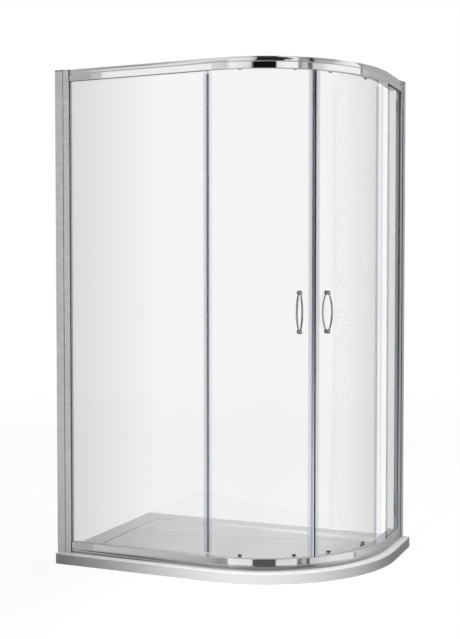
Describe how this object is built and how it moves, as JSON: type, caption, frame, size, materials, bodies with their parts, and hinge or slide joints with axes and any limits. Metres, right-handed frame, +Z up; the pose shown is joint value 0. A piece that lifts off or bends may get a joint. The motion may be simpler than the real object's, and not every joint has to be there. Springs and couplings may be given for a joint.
{
  "type": "quadrant shower enclosure",
  "caption": "Corner shower enclosure with fixed glass panes, curved sliding doors on bent rails and a low tray.",
  "frame": {"origin": "middle of the tray's underside, on the floor", "axes": "+X along the long front towards the curved corner, +Y towards the back wall, +Z up"},
  "size_m": [1.2, 0.8, 1.89],
  "materials": {
    "black_nylon": "moulded, fine grain",
    "bright_aluminium": "polished bright anodised",
    "chrome_plate": "polished",
    "clear_glass": "clear toughened, polished edges",
    "clear_pvc": "translucent soft strip",
    "grey_gasket": "matt",
    "magnet_black": "matt",
    "screw_steel": "bright",
    "spring_steel": "bright",
    "tray_white": "smooth white sanitary acrylic",
    "wheel_white": "moulded"
  },
  "bodies": {
    "frame": {"shower_tray": "tray_white", "wall_channel_left": "bright_aluminium", "wall_channel_right": "bright_aluminium", "upright_left": "bright_aluminium", "upright_right": "bright_aluminium", "bottom_rail": "bright_aluminium", "top_rail": "bright_aluminium", "fixed_glass_left": "clear_glass", "fixed_glass_right": "clear_glass", "glazing_gasket_left": "grey_gasket", "glazing_gasket_right": "grey_gasket", "fixed_edge_seal_left": "clear_pvc", "fixed_edge_seal_right": "clear_pvc", "rail_end_pieces": "black_nylon", "rail_screws": "screw_steel", "upright_caps": "black_nylon", "channel_screws": "screw_steel", "screw_covers": "chrome_plate", "slot_covers": "clear_pvc", "door_stops": "black_nylon"},
    "door_left": {"door_glass_left": "clear_glass", "meeting_seal_left": "clear_pvc", "magnet_strip_left": "magnet_black", "trailing_seal_left": "clear_pvc", "handle_outer_left": "chrome_plate", "handle_inner_left": "chrome_plate", "handle_studs_left": "screw_steel", "handle_washers_left": "clear_pvc", "top_roller_axles_left": "screw_steel", "top_roller_caps_left": "black_nylon", "roller_housings_left": "black_nylon", "roller_clamps_left": "black_nylon", "push_spring_left_near": "spring_steel", "push_spring_left_far": "spring_steel"},
    "top_wheel_left_near": {"top_wheel_left_near": "wheel_white"},
    "push_roller_left_near": {"push_roller_left_near": "black_nylon"},
    "bottom_wheel_left_near": {"bottom_wheel_left_near": "wheel_white"},
    "top_wheel_left_far": {"top_wheel_left_far": "wheel_white"},
    "push_roller_left_far": {"push_roller_left_far": "black_nylon"},
    "bottom_wheel_left_far": {"bottom_wheel_left_far": "wheel_white"},
    "door_right": {"door_glass_right": "clear_glass", "meeting_seal_right": "clear_pvc", "magnet_strip_right": "magnet_black", "trailing_seal_right": "clear_pvc", "handle_outer_right": "chrome_plate", "handle_inner_right": "chrome_plate", "handle_studs_right": "screw_steel", "handle_washers_right": "clear_pvc", "top_roller_axles_right": "screw_steel", "top_roller_caps_right": "black_nylon", "roller_housings_right": "black_nylon", "roller_clamps_right": "black_nylon", "push_spring_right_near": "spring_steel", "push_spring_right_far": "spring_steel"},
    "top_wheel_right_near": {"top_wheel_right_near": "wheel_white"},
    "push_roller_right_near": {"push_roller_right_near": "black_nylon"},
    "bottom_wheel_right_near": {"bottom_wheel_right_near": "wheel_white"},
    "top_wheel_right_far": {"top_wheel_right_far": "wheel_white"},
    "push_roller_right_far": {"push_roller_right_far": "black_nylon"},
    "bottom_wheel_right_far": {"bottom_wheel_right_far": "wheel_white"}
  },
  "joints": [
    {"name": "door_left_travel", "type": "hinge", "parent": "frame", "child": "door_left", "pos_m": [0.017, 0.23, 0.965], "axis": [0, 0, -1], "range_deg": [0, 21]},
    {"name": "top_wheel_left_near_spin", "type": "hinge", "parent": "door_left", "child": "top_wheel_left_near", "pos_m": [0.33568, -0.25137, 1.866], "axis": [0.5892, -0.808, 0], "continuous": true},
    {"name": "push_roller_left_near_press", "type": "slide", "parent": "door_left", "child": "push_roller_left_near", "axis": [0, 0, -1], "range_m": [0, 0.006], "stiffness_N_per_m": 600, "springref_m": -0.006, "deforming": ["push_spring_left_near"]},
    {"name": "bottom_wheel_left_near_spin", "type": "hinge", "parent": "push_roller_left_near", "child": "bottom_wheel_left_near", "pos_m": [0.33568, -0.25137, 0.064], "axis": [0.5892, -0.808, 0], "continuous": true},
    {"name": "top_wheel_left_far_spin", "type": "hinge", "parent": "door_left", "child": "top_wheel_left_far", "pos_m": [0.13778, -0.33762, 1.866], "axis": [0.1908, -0.9816, 0], "continuous": true},
    {"name": "push_roller_left_far_press", "type": "slide", "parent": "door_left", "child": "push_roller_left_far", "axis": [0, 0, -1], "range_m": [0, 0.006], "stiffness_N_per_m": 600, "springref_m": -0.006, "deforming": ["push_spring_left_far"]},
    {"name": "bottom_wheel_left_far_spin", "type": "hinge", "parent": "push_roller_left_far", "child": "bottom_wheel_left_far", "pos_m": [0.13778, -0.33762, 0.064], "axis": [0.1908, -0.9816, 0], "continuous": true},
    {"name": "door_right_travel", "type": "hinge", "parent": "frame", "child": "door_right", "pos_m": [-0.037, 0.176, 0.965], "axis": [0, 0, 1], "range_deg": [0, 21]},
    {"name": "top_wheel_right_near_spin", "type": "hinge", "parent": "door_right", "child": "top_wheel_right_near", "pos_m": [0.44437, -0.14268, 1.866], "axis": [0.808, -0.5892, 0], "continuous": true},
    {"name": "push_roller_right_near_press", "type": "slide", "parent": "door_right", "child": "push_roller_right_near", "axis": [0, 0, -1], "range_m": [0, 0.006], "stiffness_N_per_m": 600, "springref_m": -0.006, "deforming": ["push_spring_right_near"]},
    {"name": "bottom_wheel_right_near_spin", "type": "hinge", "parent": "push_roller_right_near", "child": "bottom_wheel_right_near", "pos_m": [0.44437, -0.14268, 0.064], "axis": [0.808, -0.5892, 0], "continuous": true},
    {"name": "top_wheel_right_far_spin", "type": "hinge", "parent": "door_right", "child": "top_wheel_right_far", "pos_m": [0.53062, 0.05522, 1.866], "axis": [0.9816, -0.1908, 0], "continuous": true},
    {"name": "push_roller_right_far_press", "type": "slide", "parent": "door_right", "child": "push_roller_right_far", "axis": [0, 0, -1], "range_m": [0, 0.006], "stiffness_N_per_m": 600, "springref_m": -0.006, "deforming": ["push_spring_right_far"]},
    {"name": "bottom_wheel_right_far_spin", "type": "hinge", "parent": "push_roller_right_far", "child": "bottom_wheel_right_far", "pos_m": [0.53062, 0.05522, 0.064], "axis": [0.9816, -0.1908, 0], "continuous": true}
  ],
  "couplings": [
    {"joint": "top_wheel_left_near_spin", "follows": "door_left_travel", "ratio": 49.342},
    {"joint": "bottom_wheel_left_near_spin", "follows": "door_left_travel", "ratio": -49.342},
    {"joint": "top_wheel_left_far_spin", "follows": "door_left_travel", "ratio": 49.601},
    {"joint": "bottom_wheel_left_far_spin", "follows": "door_left_travel", "ratio": -49.601},
    {"joint": "top_wheel_right_near_spin", "follows": "door_right_travel", "ratio": -49.342},
    {"joint": "bottom_wheel_right_near_spin", "follows": "door_right_travel", "ratio": 49.342},
    {"joint": "top_wheel_right_far_spin", "follows": "door_right_travel", "ratio": -49.601},
    {"joint": "bottom_wheel_right_far_spin", "follows": "door_right_travel", "ratio": 49.601}
  ]
}
